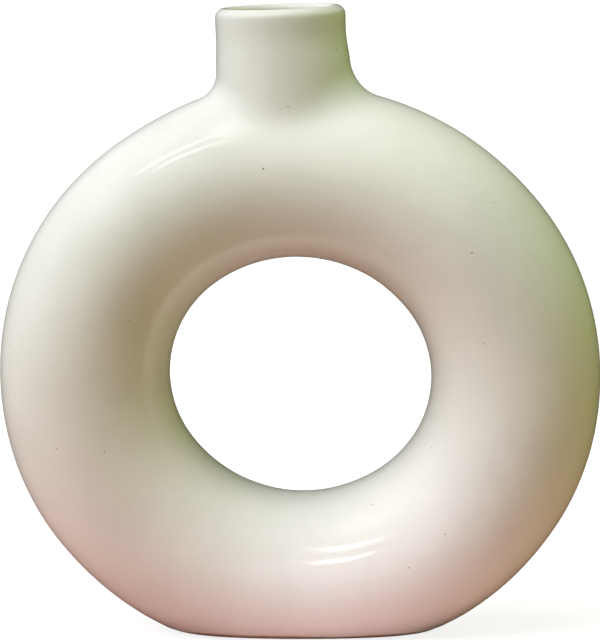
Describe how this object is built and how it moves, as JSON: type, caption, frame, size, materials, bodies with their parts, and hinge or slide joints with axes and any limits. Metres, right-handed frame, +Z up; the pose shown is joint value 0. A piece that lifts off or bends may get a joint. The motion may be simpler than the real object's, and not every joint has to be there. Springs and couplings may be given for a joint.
{
  "type": "donut vase",
  "caption": "Ring-shaped vase: a hollow oval clay tube on a flat bare foot, with a short round neck on top, joined from moulded halves with slip and coated in ivory glaze.",
  "frame": {"origin": "centre of the foot's plane, under the middle of the ring", "axes": "+Z up the vase's height, -Y out of its front, +X to the right seen from the front"},
  "size_m": [0.1936, 0.055, 0.2023],
  "materials": {
    "fired_clay": "bare, fine grained and matt",
    "slip": "bare and matt",
    "ivory_glaze": "glossy, with fine specks"
  },
  "bodies": {
    "root": {"front_half": "fired_clay", "back_half": "fired_clay", "outer_seam": "slip", "inner_seam": "slip", "neck": "fired_clay", "neck_joint": "slip", "outer_glaze": "ivory_glaze", "inner_glaze": "ivory_glaze"}
  },
  "joints": []
}
